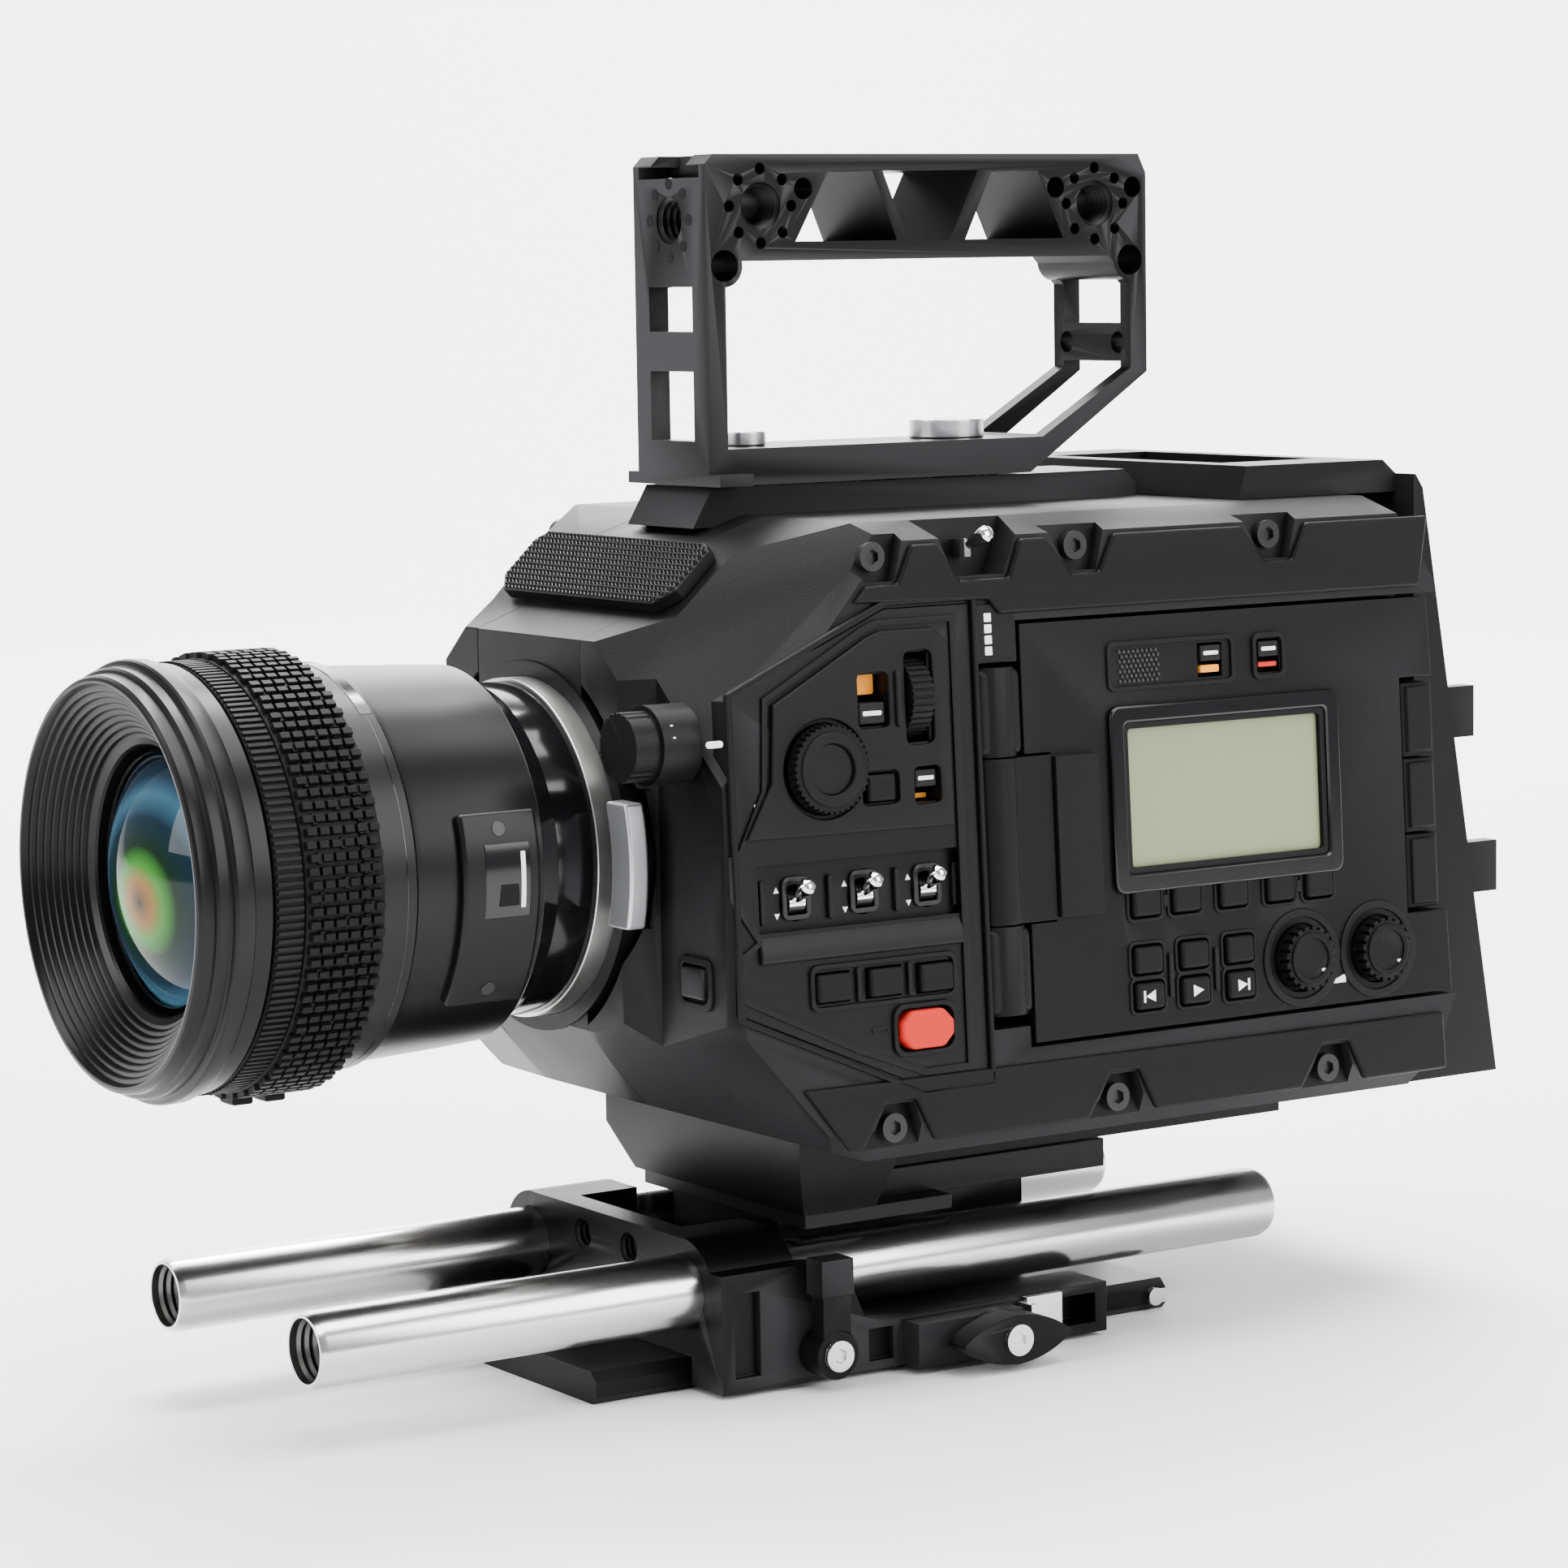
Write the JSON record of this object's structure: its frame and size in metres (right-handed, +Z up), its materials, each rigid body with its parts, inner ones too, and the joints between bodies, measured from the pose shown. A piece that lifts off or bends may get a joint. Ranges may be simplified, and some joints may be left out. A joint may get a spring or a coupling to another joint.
{
  "type": "cinema camera rig",
  "caption": "Cinema camera with a large lens, side controls, a hinged monitor door, a slotted top handle and a rod base on a dovetail plate.",
  "frame": {"origin": "on the plate's underside, under the lens axis, in the plane of the lens mount", "axes": "+Z up, -Z out of the plate's underside, -Y out of the lens, +X the side with the controls and the door"},
  "size_m": [0.1364, 0.305, 0.2451],
  "materials": {
    "body_black": "fine textured satin black",
    "panel_black": "fine textured matt black",
    "rubber_black": "matt black rubber",
    "anodised_black": "satin black anodised",
    "lens_black": "semi gloss black",
    "bright_steel": "brushed bright steel",
    "chrome": "polished",
    "grey_metal": "satin light grey",
    "black_steel": "black oxide",
    "coated_glass": "coated lens glass",
    "display": "olive display behind clear cover",
    "sensor_green": "coated sensor in a ceramic frame",
    "red_key": "satin red"
  },
  "bodies": {
    "camera": {"chassis": "body_black", "operator_shell": "body_black", "off_shell": "body_black", "vent_mesh": "black_steel", "rear_housing": "body_black", "top_rail": "anodised_black", "shell_screws": "black_steel", "mount_ring": "bright_steel", "sensor_block": "sensor_green", "nd_belt": "rubber_black", "control_panel": "panel_black", "port_covers": "rubber_black", "top_handle": "anodised_black", "silver_screws": "bright_steel", "camera_shoe": "anodised_black", "base_bracket": "anodised_black"},
    "lens": {"lens_barrel": "lens_black", "lens_front_glass": "coated_glass"},
    "rod_pair": {"rods": "bright_steel"},
    "door": {"hinge_arm": "panel_black", "monitor_door": "body_black", "door_displays": "display"},
    "focus_ring": {"focus_ring": "rubber_black"},
    "af_switch": {"af_switch": "panel_black"},
    "lens_release": {"lens_release": "grey_metal"},
    "nd_wheel": {"nd_wheel": "panel_black"},
    "nd_knob": {"nd_knob": "rubber_black"},
    "menu_dial": {"menu_dial": "rubber_black"},
    "thumb_wheel": {"thumb_wheel": "rubber_black"},
    "source_switch": {"source_switch": "panel_black"},
    "panel_lock": {"panel_lock": "panel_black"},
    "auto_wb_button": {"auto_wb_button": "panel_black"},
    "back_button": {"back_button": "panel_black"},
    "f1_button": {"f1_button": "panel_black"},
    "f2_button": {"f2_button": "panel_black"},
    "hfr_button": {"hfr_button": "panel_black"},
    "rec_button": {"rec_button": "red_key"},
    "iso_toggle": {"iso_toggle": "chrome"},
    "shutter_toggle": {"shutter_toggle": "chrome"},
    "white_toggle": {"white_toggle": "chrome"},
    "power_toggle": {"power_toggle": "chrome"},
    "still_key": {"still_key": "panel_black"},
    "hold_key": {"hold_key": "panel_black"},
    "reset_key": {"reset_key": "panel_black"},
    "timecode_key": {"timecode_key": "panel_black"},
    "bright_key": {"bright_key": "panel_black"},
    "iris_key": {"iris_key": "panel_black"},
    "focus_key": {"focus_key": "panel_black"},
    "program_key": {"program_key": "panel_black"},
    "previous_key": {"previous_key": "panel_black"},
    "play_key": {"play_key": "panel_black"},
    "next_key": {"next_key": "panel_black"},
    "level_knob_a": {"level_knob_a": "rubber_black"},
    "level_knob_b": {"level_knob_b": "rubber_black"},
    "channel_switch": {"channel_switch": "panel_black"},
    "door_lock_switch": {"door_lock_switch": "panel_black"},
    "rod_clamp_lever": {"rod_clamp_lever": "anodised_black"},
    "wing_knob": {"wing_knob": "anodised_black"},
    "plate_catch": {"plate_catch": "bright_steel"},
    "dovetail_plate": {"dovetail_plate": "anodised_black"}
  },
  "joints": [
    {"name": "lens_seat", "type": "slide", "parent": "camera", "child": "lens", "axis": [0, -1, 0], "range_m": [0, 0.025]},
    {"name": "focus_turn", "type": "hinge", "parent": "lens", "child": "focus_ring", "pos_m": [0, -0.065, 0.1077], "axis": [0, -1, 0], "range_deg": [-90, 90]},
    {"name": "af_slide", "type": "slide", "parent": "lens", "child": "af_switch", "axis": [0, -1, 0], "range_m": [0, 0.003]},
    {"name": "lens_release_press", "type": "slide", "parent": "camera", "child": "lens_release", "axis": [0, 1, 0], "range_m": [0, 0.0015], "stiffness_N_per_m": 200},
    {"name": "nd_wheel_turn", "type": "hinge", "parent": "camera", "child": "nd_wheel", "pos_m": [0, 0.0135, 0.1247], "axis": [0, -1, 0], "range_deg": [0, 270]},
    {"name": "nd_knob_turn", "type": "hinge", "parent": "camera", "child": "nd_knob", "pos_m": [0.051, 0, 0.1321], "axis": [0, -1, 0], "range_deg": [0, 270]},
    {"name": "menu_dial_turn", "type": "hinge", "parent": "camera", "child": "menu_dial", "pos_m": [0.06296, 0.0302, 0.12627], "axis": [0.9984, 0, 0.0558], "continuous": true},
    {"name": "thumb_wheel_turn", "type": "hinge", "parent": "camera", "child": "thumb_wheel", "pos_m": [0.05707, 0.0527, 0.13846], "axis": [0, 1, 0], "continuous": true},
    {"name": "source_slide", "type": "slide", "parent": "camera", "child": "source_switch", "axis": [-0.0558, 0, 0.9984], "range_m": [0, 0.005]},
    {"name": "panel_lock_slide", "type": "slide", "parent": "camera", "child": "panel_lock", "axis": [0.0558, 0, -0.9984], "range_m": [0, 0.0024]},
    {"name": "auto_wb_press", "type": "slide", "parent": "camera", "child": "auto_wb_button", "axis": [0, 1, 0], "range_m": [0, 0.001], "stiffness_N_per_m": 200},
    {"name": "back_press", "type": "slide", "parent": "camera", "child": "back_button", "axis": [-0.9984, 0, -0.0558], "range_m": [0, 0.0012], "stiffness_N_per_m": 200},
    {"name": "f1_press", "type": "slide", "parent": "camera", "child": "f1_button", "axis": [-0.9984, 0, -0.0558], "range_m": [0, 0.0012], "stiffness_N_per_m": 200},
    {"name": "f2_press", "type": "slide", "parent": "camera", "child": "f2_button", "axis": [-0.9984, 0, -0.0558], "range_m": [0, 0.0012], "stiffness_N_per_m": 200},
    {"name": "hfr_press", "type": "slide", "parent": "camera", "child": "hfr_button", "axis": [-0.9984, 0, -0.0558], "range_m": [0, 0.0012], "stiffness_N_per_m": 200},
    {"name": "rec_press", "type": "slide", "parent": "camera", "child": "rec_button", "axis": [-0.9984, 0, -0.0558], "range_m": [0, 0.0012], "stiffness_N_per_m": 200},
    {"name": "iso_flick", "type": "hinge", "parent": "camera", "child": "iso_toggle", "pos_m": [0.06119, 0.0236, 0.10073], "axis": [0, 1, 0], "range_deg": [-12, 12], "stiffness_Nm_per_rad": 0.1},
    {"name": "shutter_flick", "type": "hinge", "parent": "camera", "child": "shutter_toggle", "pos_m": [0.06119, 0.0394, 0.10073], "axis": [0, 1, 0], "range_deg": [-12, 12], "stiffness_Nm_per_rad": 0.1},
    {"name": "white_flick", "type": "hinge", "parent": "camera", "child": "white_toggle", "pos_m": [0.06119, 0.0544, 0.10073], "axis": [0, 1, 0], "range_deg": [-12, 12], "stiffness_Nm_per_rad": 0.1},
    {"name": "power_throw", "type": "hinge", "parent": "camera", "child": "power_toggle", "pos_m": [0.05529, 0.0691, 0.16681], "axis": [0.0558, 0, -0.9984], "range_deg": [0, 26]},
    {"name": "door_open", "type": "hinge", "parent": "camera", "child": "door", "pos_m": [0.06051, 0.0723, 0.10751], "axis": [0.0558, 0, -0.9984], "range_deg": [0, 90]},
    {"name": "still_press", "type": "slide", "parent": "door", "child": "still_key", "axis": [-0.9984, 0, -0.0558], "range_m": [0, 0.0012], "stiffness_N_per_m": 200},
    {"name": "hold_press", "type": "slide", "parent": "door", "child": "hold_key", "axis": [-0.9984, 0, -0.0558], "range_m": [0, 0.0012], "stiffness_N_per_m": 200},
    {"name": "reset_press", "type": "slide", "parent": "door", "child": "reset_key", "axis": [-0.9984, 0, -0.0558], "range_m": [0, 0.0012], "stiffness_N_per_m": 200},
    {"name": "timecode_press", "type": "slide", "parent": "door", "child": "timecode_key", "axis": [-0.9984, 0, -0.0558], "range_m": [0, 0.0012], "stiffness_N_per_m": 200},
    {"name": "bright_press", "type": "slide", "parent": "door", "child": "bright_key", "axis": [-0.9984, 0, -0.0558], "range_m": [0, 0.0012], "stiffness_N_per_m": 200},
    {"name": "iris_press", "type": "slide", "parent": "door", "child": "iris_key", "axis": [-0.9984, 0, -0.0558], "range_m": [0, 0.0012], "stiffness_N_per_m": 200},
    {"name": "focus_press", "type": "slide", "parent": "door", "child": "focus_key", "axis": [-0.9984, 0, -0.0558], "range_m": [0, 0.0012], "stiffness_N_per_m": 200},
    {"name": "program_press", "type": "slide", "parent": "door", "child": "program_key", "axis": [-0.9984, 0, -0.0558], "range_m": [0, 0.0012], "stiffness_N_per_m": 200},
    {"name": "previous_press", "type": "slide", "parent": "door", "child": "previous_key", "axis": [-0.9984, 0, -0.0558], "range_m": [0, 0.0012], "stiffness_N_per_m": 200},
    {"name": "play_press", "type": "slide", "parent": "door", "child": "play_key", "axis": [-0.9984, 0, -0.0558], "range_m": [0, 0.0012], "stiffness_N_per_m": 200},
    {"name": "next_press", "type": "slide", "parent": "door", "child": "next_key", "axis": [-0.9984, 0, -0.0558], "range_m": [0, 0.0012], "stiffness_N_per_m": 200},
    {"name": "level_knob_a_turn", "type": "hinge", "parent": "door", "child": "level_knob_a", "pos_m": [0.06562, 0.1468, 0.07874], "axis": [0.9984, 0, 0.0558], "range_deg": [-150, 150]},
    {"name": "level_knob_b_turn", "type": "hinge", "parent": "door", "child": "level_knob_b", "pos_m": [0.06562, 0.1672, 0.07874], "axis": [0.9984, 0, 0.0558], "range_deg": [-150, 150]},
    {"name": "channel_slide", "type": "slide", "parent": "door", "child": "channel_switch", "axis": [0.0558, 0, -0.9984], "range_m": [0, 0.0024]},
    {"name": "door_lock_slide", "type": "slide", "parent": "door", "child": "door_lock_switch", "axis": [0.0558, 0, -0.9984], "range_m": [0, 0.0024]},
    {"name": "rod_slide", "type": "slide", "parent": "camera", "child": "rod_pair", "axis": [0, 1, 0], "range_m": [-0.03, 0.03]},
    {"name": "clamp_throw", "type": "hinge", "parent": "camera", "child": "rod_clamp_lever", "pos_m": [0.0444, 0.0396, 0.0074], "axis": [1, 0, 0], "range_deg": [0, 90]},
    {"name": "wing_turn", "type": "hinge", "parent": "camera", "child": "wing_knob", "pos_m": [0.0504, 0.078, 0.0067], "axis": [1, 0, 0], "range_deg": [-20, 20]},
    {"name": "catch_slide", "type": "slide", "parent": "camera", "child": "plate_catch", "axis": [0, 1, 0], "range_m": [0, 0.003], "stiffness_N_per_m": 200},
    {"name": "plate_slide", "type": "slide", "parent": "camera", "child": "dovetail_plate", "axis": [0, 1, 0], "range_m": [-0.019, 0.04]}
  ],
  "couplings": [
    {"joint": "nd_wheel_turn", "follows": "nd_knob_turn", "ratio": 1}
  ]
}
